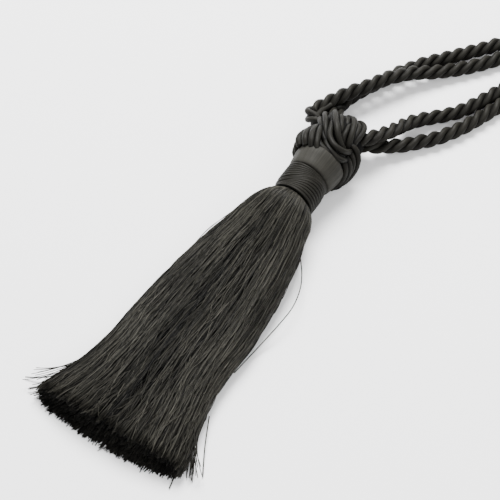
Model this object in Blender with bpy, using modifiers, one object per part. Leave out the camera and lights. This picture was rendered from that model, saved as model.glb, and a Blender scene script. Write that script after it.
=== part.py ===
"""Curtain tieback tassel, lying flat: a cut-yarn skirt, a bound neck, a sleeved head, a rope knot and two
doubled rope arms that end in eyes. Metres, +Z up. The skirt's cut end points to -Y and the rope arms to +Y.
The origin is on the flat underside of the skirt, about halfway along it."""

import bpy
import bmesh
from math import cos, pi, radians, sin, sqrt
from mathutils import Vector

MM = 0.001
GAP = 0.3 * MM

# Driving sizes.
NECK_Y = 70 * MM            # from the origin to the skirt's upper end, where the binding starts
AXIS_HEIGHT = 13.1 * MM     # the neck's and head's common axis above the surface
ROPE_RADIUS = 3.4 * MM
LOOSE_ROPE_RADIUS = 3.6 * MM    # the plies open a little where the rope bends in the knot
NECK_RADIUS = 9.4 * MM
BINDING_RADIUS = 11.3 * MM
BINDING_LENGTH = 15.6 * MM
BINDING_TURNS = 11
TURN_DEPTH = 0.5 * MM
HEAD_START = BINDING_LENGTH + 2 * GAP
HEAD_END = 28.5 * MM
ROPE_POINT_SPACING = 15 * MM
PASS_POINT_SPACING = 4.5 * MM
END_STEP = 1.2 * MM
KNOT_VOXEL = 1.7 * MM
SURFACE_SIZE = 200 * MM

# The skirt from the neck to the cut. Every column is in millimetres except roundness, the exponent of the
# section's outline, where 2 is an ellipse. "under" is how far the whole oval would reach below the table
# (a negative value clears it), "slant" is how far the section's top leans back towards the neck, "lean" how far
# its right edge does, and "bow" how far both its edges do.
SKIRT_COLUMNS = ("y", "x", "half_width", "top", "under", "roundness", "ripple", "slant", "lean", "bow")
SKIRT_SECTIONS = (
    (15.2, 0.0, 9.4, 22.5, -3.7, 2.0, 0.00, 0, 0, 0),
    (8.0, 0.0, 9.4, 22.5, -3.7, 2.0, 0.00, 0, 0, 0),
    (-0.3, 0.0, 9.4, 22.5, -3.7, 2.0, 0.00, 0, 0, 0),
    (-2.0, -0.1, 12.6, 24.6, -1.6, 2.0, 0.10, 0, 0, 0),
    (-5.0, -0.3, 14.6, 24.6, -0.4, 2.0, 0.25, 0, 0, 0),
    (-14.0, -0.9, 17.6, 23.0, 1.2, 2.1, 0.40, 0, 0, 0),
    (-26.0, -1.0, 20.9, 20.4, 2.6, 2.1, 0.45, 0, 0, 0),
    (-37.0, -1.5, 23.1, 18.6, 3.2, 2.2, 0.50, 0, 0, 0),
    (-48.0, -1.7, 25.0, 17.2, 3.4, 2.2, 0.50, 0, 0, 0),
    (-60.0, -2.1, 26.3, 16.0, 3.4, 2.3, 0.55, 0, 0, 0),
    (-74.0, -2.4, 27.6, 15.0, 3.4, 2.3, 0.55, 0, 0, 0),
    (-88.0, -3.1, 27.7, 14.3, 3.2, 2.4, 0.60, 0, 0.0, 0.0),
    (-101.0, -3.1, 28.0, 13.8, 3.0, 2.4, 0.60, 1, 0.2, 0.4),
    (-113.0, -3.0, 29.6, 13.4, 3.2, 2.4, 0.60, 2, 0.5, 1.2),
    (-124.0, -3.0, 31.8, 13.0, 3.6, 2.4, 0.60, 3, 0.8, 2.2),
    (-134.5, -3.6, 34.6, 12.6, 3.9, 2.4, 0.60, 4, 1.1, 3.3),
    (-145.4, -4.4, 37.2, 12.0, 4.0, 2.4, 0.55, 6, 1.4, 4.5),
)
SKIRT_RING_POINTS = 44

# Rope routes in millimetres from the foot of the neck: x, y and height. Each starts and ends inside the knot.
BACK_ROUTE = (
    (-8, 45, 14), (-16, 48, 12.5), (-21.5, 53, 10.2), (-20.4, 58.6, 10), (-18.1, 63.7, 10.3),
    (-15, 69.8, 10.6), (-11.5, 76.4, 10.6), (-7.3, 82.9, 10.6), (-3.8, 89.5, 10.4), (-0.5, 95.4, 10),
    (3.1, 100.6, 9.2), (7, 106.5, 7.8), (12.8, 112.6, 6), (21.2, 121.7, 4.2), (29.8, 131.5, 3.5),
    (38.5, 143.2, 3.5), (45.3, 156.1, 3.5), (49.3, 171.7, 3.5), (49.3, 190.3, 3.5), (45.7, 212.9, 3.5),
    (39.7, 237.8, 3.5), (34.8, 260.5, 3.5), (34.9, 278, 3.5), (39.8, 295, 3.5), (43.9, 310, 3.5),
    (44.5, 324, 3.5), (40.3, 334.3, 3.5), (30, 338.5, 3.5), (19.7, 334.3, 3.5), (15.5, 324, 3.5),
    (16.1, 310, 3.5), (20.2, 295, 3.5), (25.1, 278, 3.5), (27.2, 259.5, 3.5), (32.3, 236.2, 3.5),
    (38.3, 211.1, 3.5), (41.7, 189.7, 3.5), (41.2, 172.3, 3.5), (38.4, 160.9, 3.5), (33.7, 152.7, 3.5),
    (24.9, 140.9, 3.5), (15.9, 129.5, 3.5), (7.4, 118.8, 3.5), (3.5, 112.6, 3.5), (0.2, 107.2, 3.5),
    (-3, 100.8, 3.5), (-6, 94.4, 3.5), (-9.2, 87.7, 3.5), (-11.6, 81.6, 3.5), (-13.5, 75.6, 3.5),
    (-14.3, 69.3, 3.5), (-13, 62, 3.8), (-9, 54, 6), (-3, 46, 9),
)
FRONT_ROUTE = (
    (3, 42, 16), (8.4, 47.4, 15.2), (11.8, 51.6, 14.8), (14.6, 56.8, 13.4), (17.6, 64.1, 11), (19.6, 71.4, 8.4),
    (21.8, 78.7, 6), (25.5, 85.2, 4.4), (30.7, 91.4, 3.6), (35.4, 96.6, 3.5), (38.9, 101.5, 3.5),
    (42.8, 108.9, 3.5), (46.3, 116.7, 3.5), (49.3, 124, 3.5), (54.4, 137.6, 3.5), (60.3, 153.3, 3.5),
    (64.7, 170.8, 3.5), (67.1, 190.3, 3.5), (68.2, 212, 3.5), (68.2, 235, 3.5), (67.6, 256, 3.5),
    (64.4, 273, 3.5), (59.4, 288, 3.5), (57.5, 302, 3.5), (61.7, 312.3, 3.5), (72, 316.5, 3.5),
    (82.3, 312.3, 3.5), (86.5, 302, 3.5), (84.6, 288, 3.5), (79.6, 273, 3.5), (76.4, 256, 3.5),
    (75.8, 235, 3.5), (75.8, 212, 3.5), (74.9, 189.7, 3.5), (72.3, 169.2, 3.5), (67.7, 150.7, 3.5),
    (61.6, 134.4, 3.5), (53.9, 115, 3.5), (50.1, 105, 3.5), (45.9, 94.6, 3.5), (43.2, 89.1, 3.5),
    (40.1, 83.7, 3.5), (36, 77.6, 3.5), (30.2, 70.9, 3.8), (26.6, 66.3, 4.4), (21.4, 60.9, 5.5),
    (15.5, 55.5, 6.8), (11.8, 53, 7.8), (8, 50, 8.2), (2, 45, 9),
)
# How much of each route's start and end belongs to the knot.
BACK_IN_KNOT = (28 * MM, 30 * MM)
FRONT_IN_KNOT = (20 * MM, 17 * MM)

# The knot's other passes, in the same measure.
KNOT_PASSES = (
    # over the top, left
    ((-8, 60, 7), (-12.5, 56, 11), (-13.1, 50.7, 17.2), (-8, 43.5, 22), (-2.5, 36, 24.6), (1.5, 30.6, 24.6),
     (5.4, 28.6, 22.6), (9.6, 31.2, 18), (8, 37, 12)),
    # over the top, right
    ((-2, 61, 7), (-7.2, 58.5, 11), (-8, 54, 17), (-2.6, 44.4, 23), (2.8, 37.8, 24.4), (7, 34.8, 20.6),
     (6, 38, 14)),
    # two shorter passes on the right
    ((3, 62, 6), (-3.4, 60.4, 10), (-3.8, 56.5, 15), (1.5, 48, 19.4), (5.8, 40, 20.6), (6.5, 37, 15)),
    ((11, 48, 3.4), (7, 57, 3.6), (2.4, 61.6, 7.6), (2.2, 59, 12.6), (5.6, 51.6, 15.4), (7, 43.6, 17), (5, 40, 13)),
    # round the head's top
    ((-6, 42, 3.6), (-11.5, 34.5, 3.6), (-13.6, 32, 8), (-13.4, 32.5, 14), (-10.6, 33.5, 19), (-6, 33, 21.6),
     (-1, 30.6, 22.4), (4, 30.4, 20.8), (8, 33, 16)),
    # down the right side and under
    ((3, 40, 15), (7.6, 37.6, 17), (10.6, 37.4, 15.4), (13, 36.6, 11), (13.4, 34.4, 6), (12, 33.4, 3.4),
     (4, 36, 3.4)),
)
KNOT_CORE_CENTRE = (-1.5, 44, 11.2)
KNOT_CORE_SIZE = (15.5, 15.5, 12)

YARN_COLOUR = (0.058, 0.056, 0.050, 1)
SLEEVE_COLOUR = (0.068, 0.066, 0.060, 1)


def clear_scene():
    for obj in list(bpy.data.objects):
        bpy.data.objects.remove(obj, do_unlink=True)


def new_collection(name):
    collection = bpy.data.collections.new(name)
    bpy.context.scene.collection.children.link(collection)
    return collection


def yarn_material(name, colour, roughness):
    material = bpy.data.materials.new(name)
    material.use_nodes = True
    shader = material.node_tree.nodes["Principled BSDF"]
    shader.inputs["Base Color"].default_value = colour
    shader.inputs["Roughness"].default_value = roughness
    shader.inputs["Metallic"].default_value = 0.0
    return material


def add_object(name, data, collection, material=None):
    obj = bpy.data.objects.new(name, data)
    collection.objects.link(obj)
    if material:
        data.materials.append(material)
    return obj


def from_neck(point):
    """A point given in millimetres from the foot of the neck, in metres from the origin."""
    return Vector((point[0] * MM, point[1] * MM + NECK_Y, point[2] * MM))


def smooth_curve(points, steps=12):
    """A smooth curve through the points: Catmull-Rom with its speed set by the points' distances."""
    ends = [2 * points[0] - points[1], *points, 2 * points[-1] - points[-2]]
    curve = []
    for a, b, c, d in zip(ends, ends[1:], ends[2:], ends[3:]):
        ab, bc, cd = sqrt((b - a).length), sqrt((c - b).length), sqrt((d - c).length)
        leave = (c - b + bc * ((b - a) / ab - (c - a) / (ab + bc)))
        arrive = (c - b + bc * ((d - c) / cd - (d - b) / (bc + cd)))
        for step in range(steps):
            t = step / steps
            curve.append(
                (2 * t**3 - 3 * t**2 + 1) * b
                + (t**3 - 2 * t**2 + t) * leave
                + (3 * t**2 - 2 * t**3) * c
                + (t**3 - t**2) * arrive
            )
    return [*curve, points[-1]]


def stretch_of(curve, start, end, spacing):
    """Points of a curve from one length along it to another. They are evenly spaced, apart from a short first
    and last step that turn each end face square to the route."""
    lengths = [0.0]
    for a, b in zip(curve, curve[1:]):
        lengths.append(lengths[-1] + (b - a).length)
    end = lengths[-1] + end if end <= 0 else end
    count = max(2, round((end - start) / spacing))
    wanted = [start + (end - start) * index / count for index in range(count + 1)]
    wanted.insert(1, start + END_STEP)
    wanted.insert(-1, end - END_STEP)
    points = []
    at = 0
    for length in wanted:
        while at < len(lengths) - 2 and lengths[at + 1] < length:
            at += 1
        share = (length - lengths[at]) / (lengths[at + 1] - lengths[at])
        points.append(curve[at].lerp(curve[at + 1], share))
    return points


def tube(name, points, radius, bevel_resolution, collection, material=None):
    curve = bpy.data.curves.new(name, "CURVE")
    curve.dimensions = "3D"
    curve.bevel_depth = radius
    curve.bevel_resolution = bevel_resolution
    curve.use_fill_caps = True
    spline = curve.splines.new("POLY")
    spline.points.add(len(points) - 1)
    for spline_point, point in zip(spline.points, points):
        spline_point.co = (*point, 1)
    spline.use_smooth = True
    return add_object(name, curve, collection, material)


def mesh_of_tube(obj, collection):
    """The tube as a closed mesh under the same name, in place of its curve."""
    bpy.context.view_layer.update()
    evaluated = obj.evaluated_get(bpy.context.evaluated_depsgraph_get())
    mesh = bpy.data.meshes.new_from_object(evaluated)
    shape = bmesh.new()
    shape.from_mesh(mesh)
    bmesh.ops.remove_doubles(shape, verts=shape.verts, dist=0.00001)
    bmesh.ops.recalc_face_normals(shape, faces=shape.faces)
    shape.to_mesh(mesh)
    shape.free()
    name, matrix = obj.name, obj.matrix_world.copy()
    bpy.data.objects.remove(obj, do_unlink=True)
    solid = add_object(name, mesh, collection)
    solid.matrix_world = matrix
    return solid


def shade_round(mesh, angle=40):
    mesh.shade_smooth()
    mesh.set_sharp_from_angle(angle=radians(angle))


def turned(name, profile, closed, steps, collection, material=None):
    """A profile of (radius, distance along the axis) turned about an axis laid along +Y at the neck."""
    mesh = bpy.data.meshes.new(name)
    edges = [(i, i + 1) for i in range(len(profile) - 1)]
    if closed:
        edges.append((len(profile) - 1, 0))
    mesh.from_pydata([(radius, 0, -along) for radius, along in profile], edges, [])
    obj = add_object(name, mesh, collection, material)
    obj.location = (0, NECK_Y, AXIS_HEIGHT)
    obj.rotation_euler = (radians(90), 0, 0)
    screw = obj.modifiers.new("Screw", "SCREW")
    screw.steps = steps
    screw.render_steps = steps
    screw.use_merge_vertices = True
    screw.merge_threshold = 0.00001
    screw.use_smooth_shade = True
    return obj


def signed_power(value, power):
    return abs(value) ** power * (1 if value >= 0 else -1)


def skirt_ring(row):
    """One oval section of the skirt. What would reach below the surface is flattened onto it."""
    section = dict(zip(SKIRT_COLUMNS, row))
    half_height = (section["top"] + section["under"]) / 2
    middle = (section["top"] - section["under"]) / 2
    ring = []
    for index in range(SKIRT_RING_POINTS):
        turn = 2 * pi * index / SKIRT_RING_POINTS
        lobes = sin(7 * turn + 1.3) + 0.6 * sin(11 * turn + 0.4)
        swell = 1 + section["ripple"] * lobes / section["half_width"]
        across = swell * section["half_width"] * signed_power(cos(turn), 2 / section["roundness"])
        height = middle + swell * half_height * signed_power(sin(turn), 2 / section["roundness"])
        height = max(0.0, height)
        out = across / section["half_width"]
        back = section["slant"] * height / section["top"] + section["lean"] * out + section["bow"] * out * out
        ring.append(from_neck((section["x"] + across, section["y"] + back, height)))
    return ring


def add_skirt(collection, material):
    """The bunch of yarn: a loft from the round neck to the wide flattened cut end."""
    shape = bmesh.new()
    rings = [[shape.verts.new(point) for point in skirt_ring(row)] for row in SKIRT_SECTIONS]
    for ring, next_ring in zip(rings, rings[1:]):
        for index in range(SKIRT_RING_POINTS):
            after = (index + 1) % SKIRT_RING_POINTS
            shape.faces.new((ring[index], ring[after], next_ring[after], next_ring[index]))
    shape.faces.new(reversed(rings[0]))
    shape.faces.new(rings[-1])
    bmesh.ops.recalc_face_normals(shape, faces=shape.faces)
    mesh = bpy.data.meshes.new("skirt")
    shape.to_mesh(mesh)
    shape.free()
    shade_round(mesh)
    return add_object("skirt", mesh, collection, material)


def add_binding(collection, material):
    """The wound cord round the neck: a ring whose outside is scalloped once for each turn."""
    pitch = BINDING_LENGTH / BINDING_TURNS
    outside = []
    for turn in range(BINDING_TURNS):
        outside.append((BINDING_RADIUS - TURN_DEPTH, turn * pitch))
        outside.append((BINDING_RADIUS, (turn + 0.5) * pitch))
    outside.append((BINDING_RADIUS - TURN_DEPTH, BINDING_LENGTH))
    inside = [(NECK_RADIUS + GAP, BINDING_LENGTH), (NECK_RADIUS + GAP, 0)]
    return turned("neck_binding", outside + inside, True, 28, collection, material)


def head_profile(grow=0.0):
    """The head's outline: slightly wider towards the knot, with rounded rims."""
    outline = (
        (0, HEAD_START), (11.2 * MM, HEAD_START), (11.9 * MM, HEAD_START + 0.8 * MM), (12.5 * MM, 21 * MM),
        (12.8 * MM, 24.6 * MM), (12.6 * MM, 27.2 * MM), (11.4 * MM, HEAD_END), (0, HEAD_END),
    )
    middle = (HEAD_START + HEAD_END) / 2
    return [
        (radius + grow if radius else 0, along + (grow if along > middle else -grow)) for radius, along in outline
    ]


def as_cutter(obj):
    obj.hide_render = True
    obj.display_type = "WIRE"
    return obj


def add_boolean(obj, cutter, operation):
    boolean = obj.modifiers.new(f"{operation.title()} {cutter.name}", "BOOLEAN")
    boolean.operation = operation
    boolean.object = cutter
    boolean.solver = "EXACT"


def joined(shapes):
    """The meshes of these objects as loose parts of one mesh. The objects are removed."""
    whole = bmesh.new()
    for obj in shapes:
        whole.from_mesh(obj.data)
        bpy.data.objects.remove(obj, do_unlink=True)
    mesh = bpy.data.meshes.new("knot")
    whole.to_mesh(mesh)
    whole.free()
    return mesh


def add_primitive(name, collection):
    """The object that a primitive operator has just added, under this name and in this collection only."""
    obj = bpy.context.object
    obj.name = name
    for other in list(obj.users_collection):
        other.objects.unlink(obj)
    collection.objects.link(obj)
    return obj


def add_knot(parts, helpers, material, stubs):
    """The knot as one body: its passes melted round a core, hollowed for the head and flat underneath."""
    bpy.ops.mesh.primitive_uv_sphere_add(segments=20, ring_count=12, radius=1)
    core = add_primitive("core", helpers)
    size = Vector(KNOT_CORE_SIZE) * MM
    for vertex in core.data.vertices:
        vertex.co = Vector(a * b for a, b in zip(vertex.co, size)) + from_neck(KNOT_CORE_CENTRE)
    shapes = [core]
    for number, route in enumerate(KNOT_PASSES):
        line = stretch_of(smooth_curve([from_neck(point) for point in route]), 0, 0, PASS_POINT_SPACING)
        shapes.append(mesh_of_tube(tube(f"pass_{number}", line, LOOSE_ROPE_RADIUS, 3, helpers), helpers))
    knot = add_object("knot", joined(shapes), parts, material)
    remesh = knot.modifiers.new("Melt together", "REMESH")
    remesh.mode = "VOXEL"
    remesh.voxel_size = KNOT_VOXEL
    for number, line in enumerate(stubs):
        stub = mesh_of_tube(tube(f"stub_{number}", line, ROPE_RADIUS, 2, helpers), helpers)
        add_boolean(knot, as_cutter(stub), "UNION")
    head_room = turned("head_room", head_profile(GAP), False, 28, helpers)
    add_boolean(knot, as_cutter(head_room), "DIFFERENCE")
    bpy.ops.mesh.primitive_cube_add(size=SURFACE_SIZE, location=(0, NECK_Y, -SURFACE_SIZE / 2))
    add_boolean(knot, as_cutter(add_primitive("surface", helpers)), "DIFFERENCE")
    return knot


def add_arm(name, route, in_knot, collection, material):
    """One doubled rope arm as a single tube, out to its eye and back. Returns the ends that lie in the knot."""
    line = smooth_curve([from_neck(point) for point in route])
    starts, ends = in_knot
    tube(name, stretch_of(line, starts, -ends, ROPE_POINT_SPACING), ROPE_RADIUS, 2, collection, material)
    length = sum((b - a).length for a, b in zip(line, line[1:]))
    return [
        stretch_of(line, 0, starts - GAP, PASS_POINT_SPACING),
        stretch_of(line, length - ends + GAP, length, PASS_POINT_SPACING),
    ]


def main():
    clear_scene()
    parts = new_collection("curtain_tieback_tassel")
    helpers = new_collection("helpers")
    add_skirt(parts, yarn_material("skirt_yarn", YARN_COLOUR, 0.5))
    add_binding(parts, yarn_material("binding_cord", YARN_COLOUR, 0.5))
    sleeve = yarn_material("sleeve_yarn", SLEEVE_COLOUR, 0.42)
    turned("head_sleeve", head_profile(), False, 28, parts, sleeve)
    rope = yarn_material("rope", YARN_COLOUR, 0.45)
    stubs = add_arm("cord_arm_back", BACK_ROUTE, BACK_IN_KNOT, parts, rope)
    stubs += add_arm("cord_arm_front", FRONT_ROUTE, FRONT_IN_KNOT, parts, rope)
    add_knot(parts, helpers, yarn_material("knot_rope", YARN_COLOUR, 0.45), stubs)


main()
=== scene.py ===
from math import pi

import bpy
import numpy as np
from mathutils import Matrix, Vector


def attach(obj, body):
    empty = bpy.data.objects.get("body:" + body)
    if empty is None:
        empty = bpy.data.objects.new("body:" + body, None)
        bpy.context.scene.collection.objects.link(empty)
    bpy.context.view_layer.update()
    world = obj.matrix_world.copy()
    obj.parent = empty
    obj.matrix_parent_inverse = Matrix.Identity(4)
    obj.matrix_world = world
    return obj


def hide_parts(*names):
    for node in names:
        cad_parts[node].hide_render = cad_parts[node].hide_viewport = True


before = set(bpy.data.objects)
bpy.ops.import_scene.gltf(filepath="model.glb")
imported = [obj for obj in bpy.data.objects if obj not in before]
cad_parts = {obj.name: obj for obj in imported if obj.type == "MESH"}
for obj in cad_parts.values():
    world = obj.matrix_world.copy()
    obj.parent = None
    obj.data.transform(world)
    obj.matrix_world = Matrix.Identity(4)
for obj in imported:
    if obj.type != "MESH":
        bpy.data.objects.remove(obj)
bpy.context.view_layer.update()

# The visual model of the curtain tieback tassel: every thread, ply and turn of yarn, in metres, +Z up.
# Routes and sections are in millimetres from the foot of the neck, as in the CAD. Other sizes are in
# millimetres too, unless they say otherwise.
MM = 0.001
NECK_Y = 70.0
AXIS_HEIGHT = 13.1

rng = np.random.default_rng(11)

# ---------------------------------------------------------------- sizes

ROPE_DIAMETER = 7.8         # over the plies
ROPE_LAY = 21.0             # length of one full turn of the plies
PLY_OFFSET = 2.02           # of each ply's middle from the rope's middle
PLY_RADIUS = 1.88
ROPE_STEP = 0.9             # between one ring of a rope's mesh and the next
COLLAR_LAY = 13.0           # the rope is twisted tighter where it goes round the head

NECK_RADIUS = 10.1
BINDING_LENGTH = 15.6
BINDING_CORD_RADIUS = 0.66
BINDING_TURNS = 13.5
BINDING_LEAN = 4.2          # how far the turns lean to and fro along the neck in the middle of the binding
LEAN_RISE = 2.3             # how soon from either end of the binding the turns reach that lean

# The skirt from the neck to past the cut. "under" is how far the whole oval would reach below the table (a
# negative value clears it), and "roundness" is the exponent of the section's outline. "slant" is how far
# the section's top leans back towards the neck, "lean" how far its right edge does, and "bow" how far both
# edges do.
SKIRT_COLUMNS = ("y", "x", "half_width", "top", "under", "roundness", "slant", "lean", "bow")
SKIRT_SECTIONS = (
    (8.0, 0.0, 8.8, 21.9, -4.3, 2.0, 0, 0, 0),
    (0.0, 0.0, 9.2, 22.4, -3.8, 2.0, 0, 0, 0),
    (-2.0, -0.1, 12.2, 24.2, -1.6, 2.0, 0, 0, 0),
    (-5.0, -0.3, 14.6, 24.6, -0.4, 2.0, 0, 0, 0),
    (-14.0, -0.9, 17.6, 23.0, 1.2, 2.1, 0, 0, 0),
    (-26.0, -1.0, 20.9, 20.4, 2.6, 2.1, 0, 0, 0),
    (-37.0, -1.5, 23.1, 18.6, 3.2, 2.2, 0, 0, 0),
    (-48.0, -1.7, 25.0, 17.2, 3.4, 2.2, 0, 0, 0),
    (-60.0, -2.1, 26.3, 16.0, 3.4, 2.3, 0, 0, 0),
    (-74.0, -2.4, 27.6, 15.0, 3.4, 2.3, 0, 0, 0),
    (-88.0, -3.1, 27.7, 14.3, 3.2, 2.4, 0, 0, 0),
    (-101.0, -3.1, 28.0, 13.8, 3.0, 2.4, 1, 0.2, 0.4),
    (-113.0, -3.0, 29.6, 13.4, 3.2, 2.4, 2, 0.5, 1.2),
    (-124.0, -3.0, 31.8, 13.0, 3.6, 2.4, 3, 0.8, 2.2),
    (-134.5, -3.6, 34.6, 12.6, 3.9, 2.4, 4, 1.1, 3.3),
    (-145.4, -4.4, 37.2, 12.0, 4.0, 2.4, 6, 1.4, 4.5),
    (-152.0, -5.0, 39.0, 11.6, 2.1, 2.4, 6, 1.4, 4.5),
)
CUT_Y = -145.4
THREAD_RADIUS = 0.27
THREAD_SIDES = 3
STRAY_RADIUS = 0.28
WISP_RADIUS = 0.17

# The rope arms' routes: x, y and height, as in the CAD.
BACK_ROUTE = (
    (-8, 45, 14), (-16, 48, 12.5), (-21.5, 53, 10.2), (-20.4, 58.6, 10), (-18.1, 63.7, 10.3),
    (-15, 69.8, 10.6), (-11.5, 76.4, 10.6), (-7.3, 82.9, 10.6), (-3.8, 89.5, 10.4), (-0.5, 95.4, 10),
    (3.1, 100.6, 9.2), (7, 106.5, 7.8), (12.8, 112.6, 6), (21.2, 121.7, 4.2), (29.8, 131.5, 3.5),
    (38.5, 143.2, 3.5), (45.3, 156.1, 3.5), (49.3, 171.7, 3.5), (49.3, 190.3, 3.5), (45.7, 212.9, 3.5),
    (39.7, 237.8, 3.5), (34.8, 260.5, 3.5), (34.9, 278, 3.5), (39.8, 295, 3.5), (43.9, 310, 3.5),
    (44.5, 324, 3.5), (40.3, 334.3, 3.5), (30, 338.5, 3.5), (19.7, 334.3, 3.5), (15.5, 324, 3.5),
    (16.1, 310, 3.5), (20.2, 295, 3.5), (25.1, 278, 3.5), (27.2, 259.5, 3.5), (32.3, 236.2, 3.5),
    (38.3, 211.1, 3.5), (41.7, 189.7, 3.5), (41.2, 172.3, 3.5), (38.4, 160.9, 3.5), (33.7, 152.7, 3.5),
    (24.9, 140.9, 3.5), (15.9, 129.5, 3.5), (7.4, 118.8, 3.5), (3.5, 112.6, 3.5), (0.2, 107.2, 3.5),
    (-3, 100.8, 3.5), (-6, 94.4, 3.5), (-9.2, 87.7, 3.5), (-11.6, 81.6, 3.5), (-13.5, 75.6, 3.5),
    (-14.3, 69.3, 3.5), (-13, 62, 3.8), (-9, 54, 6), (-3, 46, 9),
)
FRONT_ROUTE = (
    (3, 42, 16), (8.4, 47.4, 15.2), (11.8, 51.6, 14.8), (14.6, 56.8, 13.4), (17.6, 64.1, 11),
    (19.6, 71.4, 8.4),
    (21.8, 78.7, 6), (25.5, 85.2, 4.4), (30.7, 91.4, 3.6), (35.4, 96.6, 3.5), (38.9, 101.5, 3.5),
    (42.8, 108.9, 3.5), (46.3, 116.7, 3.5), (49.3, 124, 3.5), (54.4, 137.6, 3.5), (60.3, 153.3, 3.5),
    (64.7, 170.8, 3.5), (67.1, 190.3, 3.5), (68.2, 212, 3.5), (68.2, 235, 3.5), (67.6, 256, 3.5),
    (64.4, 273, 3.5), (59.4, 288, 3.5), (57.5, 302, 3.5), (61.7, 312.3, 3.5), (72, 316.5, 3.5),
    (82.3, 312.3, 3.5), (86.5, 302, 3.5), (84.6, 288, 3.5), (79.6, 273, 3.5), (76.4, 256, 3.5),
    (75.8, 235, 3.5), (75.8, 212, 3.5), (74.9, 189.7, 3.5), (72.3, 169.2, 3.5), (67.7, 150.7, 3.5),
    (61.6, 134.4, 3.5), (53.9, 115, 3.5), (50.1, 105, 3.5), (45.9, 94.6, 3.5), (43.2, 89.1, 3.5),
    (40.1, 83.7, 3.5), (36, 77.6, 3.5), (30.2, 70.9, 3.8), (26.6, 66.3, 4.4), (21.4, 60.9, 5.5),
    (15.5, 55.5, 6.8), (11.8, 53, 7.8), (8, 50, 8.2), (2, 45, 9),
)

# Where the rope itself goes round the head's top, on the left and under.
COLLAR_ROUTE = (
    (-2, 40, 14), (-7, 35.5, 16.4), (-11, 31.8, 17), (-13.4, 29.8, 13.4), (-13, 29, 9.2),
    (-9.6, 30.4, 5.2), (-4, 34, 4.2), (2, 38, 4.2),
)
KNOT_CORE_CENTRE = (-0.5, 43.0, 12.0)
KNOT_CORE_SIZE = (13.4, 15.8, 11.0)

# ---------------------------------------------------------------- curves and sweeps


def placed(points):
    """Points from the foot of the neck in millimetres, in the row frame in metres."""
    return (np.asarray(points, float) + (0, NECK_Y, 0)) * MM


def smooth_curve(points, steps=12):
    """Catmull-Rom through the points, its speed set by the points' distances, as in the CAD."""
    points = np.asarray(points, float)
    ends = np.vstack([2 * points[0] - points[1], points, 2 * points[-1] - points[-2]])
    curve = []
    for a, b, c, d in zip(ends, ends[1:], ends[2:], ends[3:]):
        ab, bc, cd = (np.sqrt(np.linalg.norm(q - p)) for p, q in ((a, b), (b, c), (c, d)))
        leave = c - b + bc * ((b - a) / ab - (c - a) / (ab + bc))
        arrive = c - b + bc * ((d - c) / cd - (d - b) / (bc + cd))
        for t in np.arange(steps) / steps:
            curve.append(
                (2 * t**3 - 3 * t**2 + 1) * b
                + (t**3 - 2 * t**2 + t) * leave
                + (3 * t**2 - 2 * t**3) * c
                + (t**3 - t**2) * arrive
            )
    return np.array([*curve, points[-1]])


def lengths_of(curve):
    return np.concatenate([[0], np.cumsum(np.linalg.norm(np.diff(curve, axis=0), axis=1))])


def resampled(curve, step):
    """The curve with its points evenly spaced, about a step apart."""
    lengths = lengths_of(curve)
    wanted = np.linspace(0, lengths[-1], max(2, round(lengths[-1] / step)) + 1)
    return np.stack([np.interp(wanted, lengths, curve[:, k]) for k in range(3)], 1)


def unit(vectors):
    return vectors / np.maximum(np.linalg.norm(vectors, axis=-1, keepdims=True), 1e-12)


def frames(lines):
    """Two directions square to each line at each of its points, carried along it without twisting."""
    along = unit(np.gradient(lines, axis=1))
    start = np.where(np.abs(along[:, :1, 2:]) < 0.9, [0.0, 0.0, 1.0], [1.0, 0.0, 0.0])[:, 0]
    side = np.empty_like(lines)
    now = start
    for step in range(lines.shape[1]):
        t = along[:, step]
        now = unit(now - (now * t).sum(1, keepdims=True) * t)
        side[:, step] = now
    return side, np.cross(along, side)


def sweep(name, rings, along, around, capped=True):
    """One mesh of closed rings (lines, steps, sides, 3). The map "yarn" holds each point's place along and
    around its line, in centimetres."""
    count, steps, sides, _ = rings.shape
    index = np.arange(count * steps * sides).reshape(count, steps, sides)
    after = np.roll(index, -1, axis=2)
    quads = np.stack([index[:, :-1], after[:, :-1], after[:, 1:], index[:, 1:]], -1).reshape(-1, 4)
    u = np.broadcast_to(along[:, :, None], (count, steps, sides))
    v = np.broadcast_to(around, (count, steps, sides + 1))
    low, high = v[:, :, :-1], v[:, :, 1:]
    quad_u = np.stack([u[:, :-1], u[:, :-1], u[:, 1:], u[:, 1:]], -1).reshape(-1)
    quad_v = np.stack([low[:, :-1], high[:, :-1], high[:, 1:], low[:, 1:]], -1).reshape(-1)
    loops, uv = [quads.ravel()], [np.stack([quad_u, quad_v], 1)]
    starts = np.arange(len(quads)) * 4
    if capped:
        caps = np.concatenate([index[:, 0, ::-1], index[:, -1]])
        cap_u = np.concatenate([u[:, 0, ::-1], u[:, -1]])
        cap_v = np.concatenate([low[:, 0, ::-1], low[:, -1]])
        starts = np.concatenate([starts, len(quads) * 4 + np.arange(len(caps)) * sides])
        loops.append(caps.ravel())
        uv.append(np.stack([cap_u.ravel(), cap_v.ravel()], 1))
    loops, uv = np.concatenate(loops), np.concatenate(uv)
    mesh = bpy.data.meshes.new(name)
    mesh.vertices.add(rings.size // 3)
    mesh.vertices.foreach_set("co", np.ascontiguousarray(rings, np.float32).ravel())
    mesh.loops.add(len(loops))
    mesh.loops.foreach_set("vertex_index", loops.astype(np.int32))
    mesh.polygons.add(len(starts))
    mesh.polygons.foreach_set("loop_start", starts.astype(np.int32))
    mesh.update(calc_edges=True)
    mesh.shade_smooth()
    layer = mesh.uv_layers.new(name="yarn")
    layer.data.foreach_set("uv", uv.astype(np.float32).ravel())
    return mesh


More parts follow.
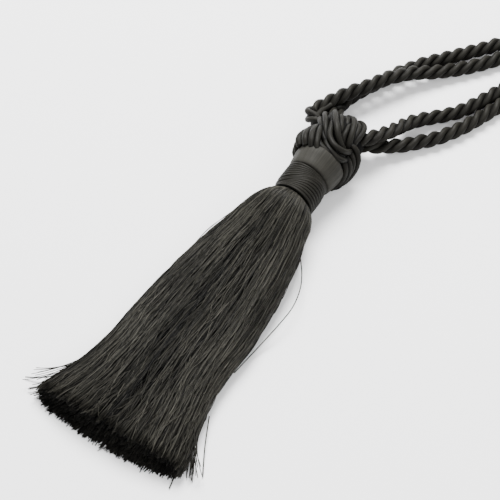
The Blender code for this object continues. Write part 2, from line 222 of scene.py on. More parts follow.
def tubes(name, lines, radii, sides, spread):
    """Round tubes along lines (lines, steps, 3) in metres. Spread is where each one's strip of the yarn map
    is."""
    count, steps, _ = lines.shape
    side, other = frames(lines)
    turn = np.arange(sides) * 2 * pi / sides
    radii = np.broadcast_to(np.asarray(radii, float).reshape(count, -1), (count, steps))
    ring = np.cos(turn)[:, None] * side[:, :, None] + np.sin(turn)[:, None] * other[:, :, None]
    rings = lines[:, :, None] + ring * radii[:, :, None, None]
    gaps = np.linalg.norm(np.diff(lines, axis=1), axis=2)
    along = np.concatenate([np.zeros((count, 1)), np.cumsum(gaps, 1)], 1) * 100
    offset = np.asarray(spread)[:, None, None]
    around = offset + radii[:, :, None] * 100 * 2 * pi * np.arange(sides + 1) / sides
    return sweep(name, rings, along + offset[:, :, 0], around)


def set_shade(mesh, shade):
    """How much light reaches each point's yarn: 1 in the open, less in a gap. The materials darken by it."""
    layer = mesh.attributes.new("shade", "FLOAT", "POINT")
    layer.data.foreach_set("value", np.ascontiguousarray(shade, np.float32).ravel())


def piece(name, mesh, material, nodes):
    obj = bpy.data.objects.new(name, mesh)
    bpy.context.scene.collection.objects.link(obj)
    mesh.materials.append(material)
    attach(obj, "root")
    if nodes:
        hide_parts(*nodes)
    return obj


# ---------------------------------------------------------------- materials

SPECULAR = 0.05
TONE_SHARE = 0.35           # how much the slow change of tone adds to the filaments' own


def yarn_material(name, dark, light, roughness, across, along, bump):
    """Satin yarn: fine filaments that run along the yarn map, and a slow change of tone over the piece.
    Across and along are about how many filaments a centimetre holds."""
    material = bpy.data.materials.new(name)
    material.use_nodes = True
    nodes, links = material.node_tree.nodes, material.node_tree.links
    shader = nodes["Principled BSDF"]
    uv = nodes.new("ShaderNodeUVMap")
    uv.uv_map = "yarn"
    stretch = nodes.new("ShaderNodeMapping")
    stretch.inputs["Scale"].default_value = (along, across, 1)
    links.new(uv.outputs["UV"], stretch.inputs["Vector"])
    filaments = nodes.new("ShaderNodeTexNoise")
    filaments.inputs["Scale"].default_value = 1.0
    filaments.inputs["Detail"].default_value = 2.0
    links.new(stretch.outputs["Vector"], filaments.inputs["Vector"])
    where = nodes.new("ShaderNodeTexCoord")
    tone = nodes.new("ShaderNodeTexNoise")
    tone.inputs["Scale"].default_value = 55.0
    tone.inputs["Detail"].default_value = 3.0
    links.new(where.outputs["Object"], tone.inputs["Vector"])
    mixed = nodes.new("ShaderNodeMath")
    mixed.operation = "MULTIPLY_ADD"
    mixed.inputs[1].default_value = TONE_SHARE
    links.new(tone.outputs["Fac"], mixed.inputs[0])
    links.new(filaments.outputs["Fac"], mixed.inputs[2])
    ramp = nodes.new("ShaderNodeValToRGB")
    ramp.color_ramp.elements[0].position = 0.45
    ramp.color_ramp.elements[0].color = (*dark, 1)
    ramp.color_ramp.elements[1].position = 0.90
    ramp.color_ramp.elements[1].color = (*light, 1)
    links.new(mixed.outputs["Value"], ramp.inputs["Fac"])
    # Painted shade: the colour is multiplied by each point's shade attribute.
    shade = nodes.new("ShaderNodeAttribute")
    shade.attribute_name = "shade"
    darken = nodes.new("ShaderNodeMix")
    darken.data_type = "RGBA"
    darken.blend_type = "MULTIPLY"
    darken.inputs["Factor"].default_value = 1.0
    links.new(ramp.outputs["Color"], darken.inputs["A"])
    links.new(shade.outputs["Fac"], darken.inputs["B"])
    links.new(darken.outputs["Result"], shader.inputs["Base Color"])
    rough = nodes.new("ShaderNodeMapRange")
    rough.inputs["From Min"].default_value = 0.3
    rough.inputs["From Max"].default_value = 0.7
    rough.inputs["To Min"].default_value = roughness + 0.08
    rough.inputs["To Max"].default_value = roughness - 0.08
    links.new(filaments.outputs["Fac"], rough.inputs["Value"])
    links.new(rough.outputs["Result"], shader.inputs["Roughness"])
    raised = nodes.new("ShaderNodeBump")
    raised.inputs["Strength"].default_value = bump
    raised.inputs["Distance"].default_value = 0.0002
    links.new(filaments.outputs["Fac"], raised.inputs["Height"])
    links.new(raised.outputs["Normal"], shader.inputs["Normal"])
    shader.inputs["Specular IOR Level"].default_value = SPECULAR
    return material


ROPE = yarn_material("rope", dark=(0.0035, 0.0033, 0.0027), light=(0.0125, 0.0119, 0.0098),
                     roughness=0.50, across=60, along=1.2, bump=0.5)
BINDING = yarn_material("binding_cord", dark=(0.0036, 0.0034, 0.0028), light=(0.0160, 0.0152, 0.0126),
                        roughness=0.50, across=60, along=2, bump=0.4)
SLEEVE = yarn_material("sleeve_yarn", dark=(0.0120, 0.0115, 0.0097), light=(0.0240, 0.0230, 0.0195),
                       roughness=0.55, across=24, along=0.6, bump=0.6)
SKIRT = yarn_material("skirt_yarn", dark=(0.0020, 0.0019, 0.0016), light=(0.0300, 0.0286, 0.0236),
                      roughness=0.45, across=9, along=0.25, bump=0.0)
# Painted shade: a near-black yarn for the hollows that no light reaches.
INSIDE_SHADE = yarn_material("skirt_shadow", dark=(0.0006, 0.0006, 0.0005), light=(0.0016, 0.0015, 0.0013),
                       roughness=0.8, across=9, along=0.25, bump=0.0)

# ---------------------------------------------------------------- camera

CAMERA_AT = (0.1618, -0.2101, 0.4765)
LOOKS_AT = (-0.0057, 0.0431, 0.0)

camera = bpy.data.objects.new("camera", bpy.data.cameras.new("camera"))
bpy.context.scene.collection.objects.link(camera)
camera.data.lens = 85
camera.data.sensor_width = 36
camera.location = CAMERA_AT
camera.rotation_euler = (Vector(LOOKS_AT) - Vector(CAMERA_AT)).to_track_quat("-Z", "Y").to_euler()
bpy.context.scene.camera = camera

# ---------------------------------------------------------------- rope arms

FLOOR_GAP = 0.05            # between the rope and the surface
YARN_SLANT = 0.55           # of a ply's yarns, across for each millimetre along
# Painted shade across a rope: the share of light in its grooves, and how much more the crests get.
GROOVE_SHADE = 0.12
CREST_SHADE = 1.15          # more than in the groove


def rope_outline(points_a_ply=10):
    """The outline of three plies lying together: (angle, radius) once round, in millimetres. Its points crowd
    towards the grooves."""
    half_ply = np.radians(60)
    turn = np.radians(np.linspace(-60, 60, points_a_ply, endpoint=False) + 60 / points_a_ply)
    turn = half_ply * np.sin(turn / half_ply * pi / 2 * 0.98)
    radius = PLY_OFFSET * np.cos(turn) + np.sqrt(PLY_RADIUS**2 - (PLY_OFFSET * np.sin(turn)) ** 2)
    return np.concatenate([turn + k * 2 * pi / 3 for k in range(3)]), np.tile(radius, 3)


def rope_mesh(name, route, lay=ROPE_LAY, light=1.0):
    """Three plies twisted together along a route, and the route's evenly spaced points."""
    line = resampled(smooth_curve(route), ROPE_STEP)
    side, other = frames(line[None])
    along = lengths_of(line)
    turn, radius = rope_outline()
    turned = turn[None] - 2 * pi * along[:, None] / lay
    ring = np.cos(turned)[..., None] * side[0][:, None] + np.sin(turned)[..., None] * other[0][:, None]
    rings = line[:, None] + ring * radius[None, :, None]
    rings[..., 2] = np.maximum(rings[..., 2], FLOOR_GAP)
    place = np.concatenate([turn, [turn[0] + 2 * pi]]) * ROPE_DIAMETER / 2
    around = (place[None] - YARN_SLANT * along[:, None]) / 10
    mesh = sweep(name, placed(rings)[None], along[None] / 10, around[None])
    # Painted shade, darkest in the grooves between the plies, all scaled by light, which paints extra light
    # on the collar's rope.
    groove = np.clip((radius - radius.min()) / (radius.max() - radius.min()), 0, 1) ** 0.7
    set_shade(mesh, light * np.broadcast_to(GROOVE_SHADE + CREST_SHADE * groove, rings.shape[:2]))
    return mesh, line


def add_arm(name, node, route):
    """One doubled rope, which replaces the CAD's plain tube and keeps its route and diameter."""
    mesh, line = rope_mesh(name, route)
    rope = piece(name, mesh, ROPE, [node])


add_arm("rope_arm_back", "cord_arm_back", BACK_ROUTE)
add_arm("rope_arm_front", "cord_arm_front", FRONT_ROUTE)

# ---------------------------------------------------------------- skirt


def section_at(y):
    """The skirt section's sizes at distances y from the foot of the neck, as a dict of columns."""
    rows = np.array(SKIRT_SECTIONS, float)
    curve = resampled_table(rows)
    return {name: np.interp(-y, -curve[:, 0], curve[:, k]) for k, name in enumerate(SKIRT_COLUMNS)}


def resampled_table(rows):
    """The table with rounded rather than straight runs between its rows."""
    slopes = np.gradient(rows[:, 1:], rows[:, 0], axis=0)
    fine = []
    for k in range(len(rows) - 1):
        span = rows[k + 1, 0] - rows[k, 0]
        for t in np.arange(8) / 8:
            value = (
                (2 * t**3 - 3 * t**2 + 1) * rows[k, 1:]
                + (t**3 - 2 * t**2 + t) * span * slopes[k]
                + (3 * t**2 - 2 * t**3) * rows[k + 1, 1:]
                + (t**3 - t**2) * span * slopes[k + 1]
            )
            fine.append([rows[k, 0] + t * span, *value])
    return np.array([*fine, rows[-1]])


def in_skirt(y, turn, depth):
    """Points of the skirt, from how far from the neck they are, their angle round its section and their share
    of the way out."""
    s = section_at(y)
    half_height = (s["top"] + s["under"]) / 2
    middle = (s["top"] - s["under"]) / 2
    power = 2 / s["roundness"]
    across = depth * s["half_width"] * np.sign(np.cos(turn)) * np.abs(np.cos(turn)) ** power
    height = middle + depth * half_height * np.sign(np.sin(turn)) * np.abs(np.sin(turn)) ** power
    height = np.maximum(height, THREAD_RADIUS + 0.1)
    out = across / s["half_width"]
    back = s["slant"] * height / s["top"] + s["lean"] * out + s["bow"] * out * out
    return np.stack([s["x"] + across, y + back, height], -1)


def wander(count, steps, places, waves, reach):
    """A slow side-to-side wander for each thread: sines of the given numbers of waves with random phases."""
    total = np.zeros((count, steps))
    for wave, size in zip(waves, reach):
        phase = rng.uniform(0, 2 * pi, (count, 1))
        swing = rng.normal(0, size, (count, 1))
        number = wave * rng.uniform(0.7, 1.3, (count, 1))
        total += swing * np.sin(2 * pi * number * places + phase)
    return total


THREADS_START = 5.0         # under the binding
LOWEST_THREAD = 0.4         # of a thread's middle above the surface


def add_threads(name, count, steps, depth, gather, cut_jitter, tones=(0.25, 1.35), thickness=1.0,
                crossing=1.0):
    """One layer of the skirt's threads, from the neck to the cut. They gather in locks, dark gaps between."""
    places = np.linspace(0, 1, steps)[None] ** 1.15
    ends = CUT_Y + rng.normal(0, cut_jitter, (count, 1)) - np.abs(rng.normal(0, cut_jitter, (count, 1)))
    y = THREADS_START + (ends - THREADS_START) * places
    turn = rng.uniform(0, 2 * pi, (count, 1))
    turn = turn + crossing * wander(count, steps, places, waves=(0.6, 1.6, 4.5), reach=(0.05, 0.022, 0.008))
    loosened = np.minimum(1, 3 * places)
    lock = turn * gather + 1.6 * np.sin(3 * turn + 4 * places) + 2.2 * places
    turn = turn - 0.75 * np.sin(lock) / gather * loosened
    share = rng.uniform(depth[0], depth[1], (count, 1))
    share = share + wander(count, steps, places, waves=(1.2, 3.5), reach=(0.010, 0.006))
    share = share + 0.022 * np.cos(lock) * loosened
    lines = in_skirt(y, turn, np.minimum(share, 1.03))
    lines[..., 0] += wander(count, steps, places, waves=(9.0, 14.0), reach=(0.16, 0.07))
    lines[..., 2] += wander(count, steps, places, waves=(9.0, 13.0), reach=(0.08, 0.05))
    lines[..., 2] = np.maximum(lines[..., 2], LOWEST_THREAD)
    radii = np.full((count, steps), THREAD_RADIUS * thickness) * rng.uniform(0.8, 1.1, (count, 1))
    mesh = tubes(name, placed(lines), radii * MM, THREAD_SIDES, rng.uniform(0, 90, count))
    # Each thread's own random tone, times painted shade that darkens the threads lying deeper in the skirt.
    tone = rng.uniform(*tones, (count, 1)) ** 2 * np.clip((share - 0.86) / 0.12, 0.05, 1)
    set_shade(mesh, np.repeat(tone[:, :, None], THREAD_SIDES, 2))
    return piece(name, mesh, SKIRT, ["skirt"])


def add_skirt_inside():
    """The mass of threads under the outer ones, dark because no light reaches it."""
    steps, sides, depth = 60, 72, 0.84
    y = np.linspace(6, CUT_Y + 7, steps)[:, None]
    turn = np.linspace(0, 2 * pi, sides, endpoint=False)[None]
    ring = in_skirt(y, turn, np.full((steps, sides), depth))
    mesh = sweep("skirt_inside", placed(ring)[None], y.T / 10, np.linspace(0, 14, sides + 1)[None, None])
    set_shade(mesh, np.full(ring.shape[:2], 0.5))
    return piece("skirt_inside", mesh, INSIDE_SHADE, ["skirt"])


add_skirt_inside()
for layer, locks in (("a", 37), ("b", 53)):
    add_threads("skirt_threads_outer_" + layer, 620, 44, depth=(0.92, 1.0), gather=locks, cut_jitter=0.8,
                tones=(0.12, 1.2), crossing=1.5)
add_threads("skirt_threads_middle", 800, 30, depth=(0.84, 0.93), gather=29, cut_jitter=0.9)
add_threads("skirt_threads_top", 380, 44, depth=(0.985, 1.015), gather=67, cut_jitter=1.0,
            tones=(0.75, 1.6), thickness=0.75, crossing=2.4)


def add_stubs(name, count):
    """The ends of the inner threads, which show at the cut."""
    steps, length = 6, 14
    places = np.linspace(0, 1, steps)[None]
    ends = CUT_Y + rng.normal(0, 0.8, (count, 1))
    y = CUT_Y + length + (ends - CUT_Y - length) * places
    turn = rng.uniform(0, 2 * pi, (count, 1)) + wander(count, steps, places, waves=(0.5,), reach=(0.03,))
    lines = in_skirt(y, turn, np.sqrt(rng.uniform(0, 0.9, (count, 1))))
    radii = np.full((count, 1), THREAD_RADIUS * 1.1 * MM)
    mesh = tubes(name, placed(lines), radii, THREAD_SIDES, rng.uniform(0, 90, count))
    # Painted shade: the inner threads' ends are dark, each with its own random tone.
    tone = rng.uniform(0.05, 0.4, (count, 1, 1))
    set_shade(mesh, np.broadcast_to(tone, (count, steps, THREAD_SIDES)))
    return piece(name, mesh, SKIRT, ["skirt"])


add_stubs("skirt_cut_ends", 1500)

# Threads that stray from the skirt, and their heights.
STRAYS = (
    ((9, -8, 6), (14, -15, 5), (19, -21, 5), (24, -28, 6), (28, -36, 7), (30.2, -46, 7), (29.6, -56, 6),
     (28, -66, 4), (26.4, -76, 2.4), (25, -86, 1.6)),
    ((-28, -108, 5), (-34, -123, 4), (-40, -131, 3), (-46, -136, 2), (-52, -139, 1)),
    ((-33, -128, 4), (-39, -136, 3), (-47, -143, 1.4)),
    ((-32, -130, 3), (-38, -139, 2), (-43, -144, 1)),
    ((26, -112, 3), (31, -124, 2.4), (35, -132, 1.6), (38, -138, 0.8)),
    ((24, -116, 3), (29, -127, 2), (33, -134, 1.2), (35.5, -138, 0.6)),
    ((28, -110, 3), (34, -122, 2), (38, -129, 1.2), (41, -134, 0.6)),
    ((25, -120, 2), (28, -132, 1.4), (31, -141, 0.8), (32, -146, 0.5)),
)


def in_steps(line, steps):
    """The evenly spaced line with this number of points."""
    was, now = np.linspace(0, 1, len(line)), np.linspace(0, 1, steps)
    return np.stack([np.interp(now, was, line[:, k]) for k in range(3)], 1)


def add_strays():
    count, steps, sides = len(STRAYS), 60, 5
    lines = np.stack([in_steps(resampled(smooth_curve(route), 1), steps) for route in STRAYS])
    lines[..., 2] = np.maximum(lines[..., 2], 0.45)
    spread = np.arange(count) * 3.7
    mesh = tubes("skirt_strays", placed(lines), np.full((count, 1), STRAY_RADIUS * MM), sides, spread)
    set_shade(mesh, np.ones((count, steps, sides)))
    return piece("skirt_strays", mesh, SKIRT, ["skirt"])


add_strays()


def add_wisps(name, count, start, end, gain, bulging):
    """Loose threads on both sides of the skirt. They bulge away from it, or spread past the cut's corners."""
    steps, sides = 24, 4
    places = np.linspace(0, 1, steps)[None]
    begin = start + rng.uniform(-8, 8, (count, 1))
    y = begin + (end + rng.normal(0, 2.0, (count, 1)) - begin) * places
    turn = rng.integers(0, 2, (count, 1)) * pi + rng.uniform(-0.45, 0.45, (count, 1))
    turn = turn + wander(count, steps, places, waves=(0.8, 2.2), reach=(0.03, 0.008))
    out = np.sin(pi * places) if bulging else places ** 1.8
    share = 0.98 + rng.uniform(0.1, 1, (count, 1)) ** 2 * gain * out
    lines = in_skirt(y, turn, share)
    radii = np.full((count, 1), WISP_RADIUS * MM)
    mesh = tubes(name, placed(lines), radii, sides, rng.uniform(0, 90, count))
    set_shade(mesh, np.full((count, steps, sides), 0.7))
    return piece(name, mesh, SKIRT, ["skirt"])


add_wisps("skirt_wisps_cut", 70, -112, CUT_Y, gain=0.26, bulging=False)
add_wisps("skirt_wisps_upper", 40, -8, -50, gain=0.12, bulging=True)
add_wisps("skirt_wisps_middle", 30, -45, -100, gain=0.06, bulging=True)

# ---------------------------------------------------------------- binding and head

BINDING_SIDES = 8
POINTS_A_TURN = 72
GROUND_PROFILE = ((9.5, 0.2), (NECK_RADIUS, 0.5), (NECK_RADIUS, 15.1), (9.5, 15.4))
HEAD_PROFILE = ((8.0, 15.6), (10.9, 15.8), (11.5, 16.3), (11.9, 17.6), (12.2, 19.6), (12.5, 21.6),
                (12.8, 23.6), (12.9, 25.6), (12.6, 27.2), (11.4, 28.2), (8.0, 28.5))


def lean(angle):
    """How far along its lean a turn is at an angle from the right, -1 to 1: steep over the top."""
    from_top = (np.degrees(angle) - 90 + 180) % 360 - 180
    over = -np.sin(np.radians(1.5 * from_top))
    below = -np.sign(from_top) * np.cos(np.radians((np.abs(from_top) - 60) * 0.75))
    return np.where(np.abs(from_top) <= 60, over, below)


def add_binding():
    """The cord wound round the neck. Its turns lean in the middle and square up at both ends."""
    turns = np.linspace(-0.5, BINDING_TURNS + 0.5, int(POINTS_A_TURN * (BINDING_TURNS + 1)))
    place = np.clip(turns / BINDING_TURNS, 0, 1)
    angle = 2 * pi * turns
    along = BINDING_CORD_RADIUS + (BINDING_LENGTH - 2 * BINDING_CORD_RADIUS) * place
    swell = np.minimum(1, LEAN_RISE * np.minimum(place, 1 - place))
    along = along + BINDING_LEAN * swell * lean(angle)
    rise = np.where(swell < 1, LEAN_RISE * np.sign(0.5 - place), 0)
    room = 1 + BINDING_LEAN * rise * lean(angle) / BINDING_LENGTH
    thick = BINDING_CORD_RADIUS * np.clip(room, 0.6, 1.3)
    radius = NECK_RADIUS + 0.8 * thick
    line = np.stack([radius * np.cos(angle), along, AXIS_HEIGHT + radius * np.sin(angle)], 1)
    mesh = tubes("neck_binding_cord", placed(line)[None], thick[None] * MM, BINDING_SIDES, [0])
    # Painted shade: each turn darkens towards the neck it lies on.
    points = np.array([vertex.co for vertex in mesh.vertices]).reshape(-1, BINDING_SIDES, 3) / MM
    out = (np.hypot(points[..., 0], points[..., 2] - AXIS_HEIGHT) - radius[:, None]) / thick[:, None]
    set_shade(mesh, np.clip(0.15 + 0.95 * out, 0.1, 1))
    return piece("neck_binding_cord", mesh, BINDING, ["neck_binding"])


def turned(name, profile, sides, material, nodes, slot, ripple=0.0):
    """A profile of (radius, distance from the foot of the neck) turned about the neck's axis. Ripple is how
    uneven its roundness is."""
    profile = np.array(profile, float)
    turn = np.linspace(0, 2 * pi, sides, endpoint=False)
    radius = profile[:, :1] * (1 + ripple * np.sin(9 * turn + 0.7)[None] + ripple * np.sin(14 * turn)[None])
    ring = np.stack([
        radius * np.cos(turn),
        np.broadcast_to(profile[:, 1:], radius.shape),
        AXIS_HEIGHT + radius * np.sin(turn),
    ], -1)
    around = np.linspace(0, 2 * pi * 1.25, sides + 1)[None, None]
    mesh = sweep(name, placed(ring)[None, ::-1], profile[::-1, 1][None] / 10, around)
    set_shade(mesh, np.ones(ring.shape[:2]))
    return piece(name, mesh, material, nodes)


add_binding()
# The neck under the binding's turns, in near-black painted shade.
turned("neck_binding_ground", GROUND_PROFILE, 48, INSIDE_SHADE, ["neck_binding"], "binding_cord")
head_curve = smooth_curve([(radius, along, 0) for radius, along in HEAD_PROFILE], steps=4)[:, :2]
turned("head_sleeve", head_curve, 144, SLEEVE, ["head_sleeve"], "sleeve_yarn", ripple=0.004)

# ---------------------------------------------------------------- knot

PLY_SIDES = 16
DEEPEST_SHADE = 0.06                # of a ply where it touches another
SHADE_REACH = 1.1                   # how near another ply has to be to darken it
COLLAR_PAINTED_LIGHT = 1.7                  # painted light on the collar's rope, which the knot shades
KNOT_MIDDLE = (0, 44, 10)           # plies are lifted away from here, or pressed towards it

# The loops round the head's top lie on rings about a line beside the neck's axis. Each ring has a distance
# from the foot of the neck, and a radius that says how far out the loop is there.
LOOP_Y = np.array([25.8, 28, 31, 35, 40, 45])
LOOP_X = -0.8
LOOP_HEIGHT = 12.7
LOOP_FLATNESS = 0.93                # height against width
UNDER_LOOP = np.array([12.6, 14.2, 14.6, 14.0, 12.4, 9.5])
MIDDLE_LOOP = np.array([12.8, 14.8, 15.4, 14.8, 13, 10])
OUTER_LOOP = np.array([13.2, 15.2, 15.8, 15, 13, 10])


def ply(radius, lift, route, start=(), end=()):
    """A ply's radius and points. Its route is lifted out of the knot, or pressed in, to 0.1 mm. The start and
    end are tucked inside and stay where they are."""
    route = np.array(route, float)
    outward = unit(route - KNOT_MIDDLE)
    return radius, np.vstack([*start, np.round(route + lift * outward, 1), *end])


def head_loop(radius, first, swing, rings):
    """A ply round the head's top, to 0.5 mm: the degrees at which it starts and that it swings on by."""
    angle = np.radians(first + swing * (LOOP_Y - LOOP_Y[0]) / (LOOP_Y[-1] - LOOP_Y[0]))
    x = LOOP_X + rings * np.cos(angle)
    z = LOOP_HEIGHT + LOOP_FLATNESS * rings * np.sin(angle)
    return radius, np.stack([np.round(2 * x) / 2, LOOP_Y, np.round(2 * z) / 2], 1)


# The plies open out of the rope and lie side by side.
KNOT_PLIES = (
    # over the top, from behind the knot down to the crossing at its front
    ply(1.4, -0.2, ((-10, 54, 6), (-13, 52, 11), (-13.2, 47.5, 17.5), (-9, 41, 22.3), (-5.5, 36.8, 23),
                    (-2, 33.4, 23), (1.5, 31.2, 22.5), (5, 30.6, 21))),
    ply(1.4, 0.3, ((-8.5, 55.5, 6), (-11.5, 54.5, 11.5), (-12.3, 51, 17.8), (-8.2, 44.2, 22.8),
                   (-5.3, 39.6, 23.4), (-3, 36.2, 22.8), (-0.4, 33.8, 22), (3, 32.4, 21))),
    ply(1.44, -0.7, ((-6.5, 57, 6), (-9, 57, 12), (-9.5, 54, 18), (-7.2, 48.8, 21.6), (-5.6, 45, 21.6),
                     (-4, 42, 20.6))),
    ply(1.63, 0.6, ((-8.8, 57, 10), (-9, 55.2, 15.5), (-7.2, 51.8, 20.5), (-3.6, 46, 23.8),
                    (-0.2, 41.5, 25), (2.5, 38.2, 24), (5, 36.4, 22), (6.8, 36, 19.6))),
    ply(1.44, -0.5, ((-7.6, 57, 8), (-7.4, 56.2, 12.5), (-5.6, 54.6, 17.6), (-3.4, 51.4, 22),
                     (-1, 47, 23.8), (1, 44, 23.4), (3, 42, 21.5)), start=[(-5, 51, 9)]),
    ply(1.53, -0.6, ((-6.6, 58, 8), (-6, 57, 12.3), (-4.2, 55.4, 16.4), (-0.8, 53, 20.3),
                     (1.4, 49.6, 21.2), (2.6, 47, 20.4)), start=[(-5, 51, 8)]),
    ply(1.44, -0.5, ((0.5, 55, 16.5), (2.2, 51.5, 19.6), (3.5, 46.4, 22.8), (4.2, 42, 23.4),
                     (5, 39, 22.2), (6.4, 37, 19.8))),
    ply(1.53, 0.5, ((-4.6, 58.6, 8), (-3.6, 58.4, 12.2), (-0.6, 56, 16.6), (3, 52.5, 21), (5.6, 47, 22.8),
                    (7, 42.6, 22.3), (7.8, 39.6, 20.4), (8, 37.8, 18)), start=[(-2, 52, 6)]),
    ply(1.44, -0.6, ((-3.6, 58.6, 6.5), (-0.6, 58.4, 11.4), (3.2, 55.8, 16.4), (6.8, 51.5, 20.8),
                     (8.4, 46.6, 21.6), (8.8, 42.6, 20.8), (8.6, 39.8, 19), (8.4, 38, 17)),
        start=[(-1, 52, 5)]),
    ply(1.44, 0.2, ((-2, 61, 5), (1.6, 60.8, 10), (6.2, 57, 15.3), (8.9, 52.6, 18.6), (9.8, 47.6, 20),
                    (9.6, 43, 19.8), (9.2, 40.2, 18.4)), start=[(0, 52.5, 4.5)]),
    # round the front of the crossing
    ply(1.49, 0.7, ((-5, 46.5, 20.5), (-3.2, 41.4, 23.4), (-1.4, 37, 24.2), (1.4, 33.6, 25), (4.8, 31.8, 25),
                    (8, 32.4, 23.4), (9.6, 35, 20.6), (9.6, 38, 17.8)), start=[(-6, 50, 15.5)]),
    ply(1.3, -0.5, ((-1.6, 36, 21.5), (1.4, 32.6, 23), (4.8, 30.2, 23.6), (8, 30.2, 22.2), (9.8, 32.4, 19.6)),
        start=[(-3, 40, 16.5)]),
    ply(1.44, 0.2, ((-3.2, 35.6, 21.5), (0.2, 31.4, 23.5), (3.8, 28.8, 24), (7.4, 28, 22.8),
                    (10, 29.4, 20.8), (10.8, 32.6, 17.8)), start=[(-4.5, 40, 14)]),
    # from the top of the knot into the back arm
    ply(1.55, 0, ((-8, 47, 20.6), (-10.4, 52.6, 15.6), (-12.4, 58, 11.4), (-13.4, 62.5, 9))),
    ply(1.55, 0, ((-5, 52, 18.6), (-7.6, 57, 12.6), (-9.8, 62, 8.4), (-11.4, 67, 6))),
    ply(1.55, 0, ((-14, 45, 12), (-16.6, 49.5, 13), (-17.4, 54, 12.2), (-17, 59, 11), (-15.6, 64, 10.4))),
    ply(1.7, 0, ((-15.5, 47.5, 9), (-16.9, 55.6, 9), (-15.9, 60.8, 8), (-10.9, 68.3, 7))),
    ply(1.6, 0, ((-17, 47.5, 9.5), (-17.3, 55.5, 10.5), (-16.1, 62.1, 8), (-11.1, 69.1, 7))),
    # round the head's top
    ply(1.6, -0.3, ((-11.5, 41.5, 17.5), (-8.6, 36.6, 21), (-5.2, 31.6, 23.6), (-2, 28.6, 24.6),
                    (1.6, 27.4, 24.4), (5, 27.2, 23.2), (7.6, 28.6, 21)), start=[(-10, 46, 12)]),
    head_loop(1.6, 96, 38, UNDER_LOOP),
    head_loop(1.65, 109, 36, MIDDLE_LOOP),
    head_loop(1.7, 124, 34, OUTER_LOOP),
    head_loop(1.8, 143, 28, OUTER_LOOP),
    # from the crossing down the right side and under
    ply(1.53, 0.4, ((7, 39, 18.5), (9.6, 39.8, 19.4), (12.2, 39.6, 17.8), (14, 38.4, 14.2),
                    (14.4, 36.6, 10.4), (14, 33.6, 7.4), (12.8, 30.4, 5.2), (11, 27.6, 3.8)),
        end=[(8.4, 26.2, 2)]),
    ply(1.49, -0.4, ((8, 35.6, 19), (10.6, 36, 19.2), (12.8, 35.6, 16.6), (14, 34.2, 13), (13.8, 32, 9.6),
                     (12.8, 29.2, 6.8), (11.2, 26.6, 4.6)), end=[(8.6, 25.2, 2.2)]),
    ply(1.44, 0.4, ((9.8, 33.2, 19), (12, 32.8, 17), (13.4, 31.6, 13.8), (13.6, 29.8, 10.4),
                    (12.8, 27.6, 7.4), (11.4, 25.6, 5)), end=[(9, 24.4, 2.6)]),
    ply(1.44, -0.2, ((9.6, 30.6, 19.6), (11.8, 30, 17), (13, 28.8, 13.8), (13, 27.2, 10.6),
                     (12.2, 25.6, 7.8), (11, 24.4, 5.6)), end=[(8.8, 23.2, 3)]),
)


def add_knot():
    """The knot: the opened plies of the rope, lying over and round a core in painted shade. Each has painted
    shade where it nears another."""
    lines = []
    for radius, route in KNOT_PLIES:
        line = resampled(smooth_curve(route), 0.5)
        line[:, 2] = np.maximum(line[:, 2], radius + 0.2)
        lines.append(line)
    for number, (line, (radius, _)) in enumerate(zip(lines, KNOT_PLIES)):
        name = f"knot_ply_{number:02d}"
        mesh = tubes(name, placed(line)[None], [radius * MM], PLY_SIDES, [number * 2.3])
        points = np.array([vertex.co for vertex in mesh.vertices]) / MM - (0, NECK_Y, 0)
        shade = np.ones(len(points))
        for other, (other_line, (other_radius, _)) in enumerate(zip(lines, KNOT_PLIES)):
            if other != number:
                away = np.linalg.norm(points[:, None] - other_line[None, ::2], axis=2).min(1) - other_radius
                shade = np.minimum(shade, np.clip(DEEPEST_SHADE + away / SHADE_REACH, DEEPEST_SHADE, 1))
        set_shade(mesh, shade)
        piece(name, mesh, ROPE, ["knot"])


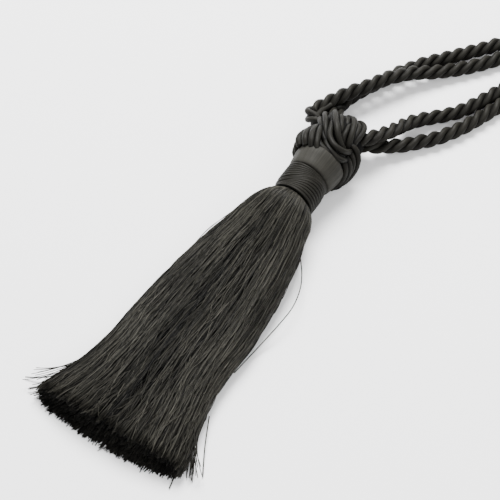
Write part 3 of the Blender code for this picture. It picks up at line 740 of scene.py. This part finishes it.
def add_knot_core():
    """The inside of the knot in near-black painted shade, an oval that the plies lie on."""
    sides, steps, pole = 48, 24, pi / 2 - 0.05
    turn = np.linspace(0, 2 * pi, sides, endpoint=False)[None]
    rise = np.linspace(-pole, pole, steps)[:, None]
    size, centre = np.array(KNOT_CORE_SIZE), np.array(KNOT_CORE_CENTRE)
    ball = np.stack([np.cos(rise) * np.cos(turn), np.cos(rise) * np.sin(turn), np.sin(rise) + 0 * turn], -1)
    rings = centre + ball * size
    rings[..., 2] = np.maximum(rings[..., 2], 0.3)
    mesh = sweep("knot_core", placed(rings)[None], rise.T * 1.5, np.linspace(0, 8, sides + 1)[None, None])
    set_shade(mesh, np.full(rings.shape[:2], 0.5))
    piece("knot_core", mesh, INSIDE_SHADE, ["knot"])


add_knot()
add_knot_core()
collar_mesh, _ = rope_mesh("knot_collar_rope", COLLAR_ROUTE, COLLAR_LAY, COLLAR_PAINTED_LIGHT)
piece("knot_collar_rope", collar_mesh, ROPE, ["knot"])

# ---------------------------------------------------------------- floor and light

PAPER_COLOUR = (0.80, 0.80, 0.805, 1)

floor_mesh = bpy.data.meshes.new("floor")
floor_mesh.from_pydata([(-3, -3, 0), (3, -3, 0), (3, 3, 0), (-3, 3, 0)], [], [(0, 1, 2, 3)])
floor = bpy.data.objects.new("floor", floor_mesh)
bpy.context.scene.collection.objects.link(floor)
paper = bpy.data.materials.new("paper")
paper.use_nodes = True
paper.node_tree.nodes["Principled BSDF"].inputs["Base Color"].default_value = PAPER_COLOUR
paper.node_tree.nodes["Principled BSDF"].inputs["Roughness"].default_value = 0.9
floor_mesh.materials.append(paper)


def add_light(name, at, towards, size, power):
    """A rectangular light, with its size in metres and its power in watts."""
    light = bpy.data.objects.new(name, bpy.data.lights.new(name, "AREA"))
    bpy.context.scene.collection.objects.link(light)
    light.data.shape = "RECTANGLE"
    light.data.size, light.data.size_y = size
    light.data.energy = power
    light.location = at
    light.rotation_euler = (Vector(towards) - Vector(at)).to_track_quat("-Z", "Y").to_euler()


add_light("key", (-0.55, 0.95, 1.25), (0, 0.05, 0), size=(0.9, 0.7), power=125)
add_light("fill", (0.9, -0.5, 1.2), (0, 0.05, 0), size=(1.0, 1.0), power=18)

world = bpy.data.worlds.new("world")
world.use_nodes = True
world.node_tree.nodes["Background"].inputs["Color"].default_value = (1, 1, 1, 1)
world.node_tree.nodes["Background"].inputs["Strength"].default_value = 1.08
bpy.context.scene.world = world
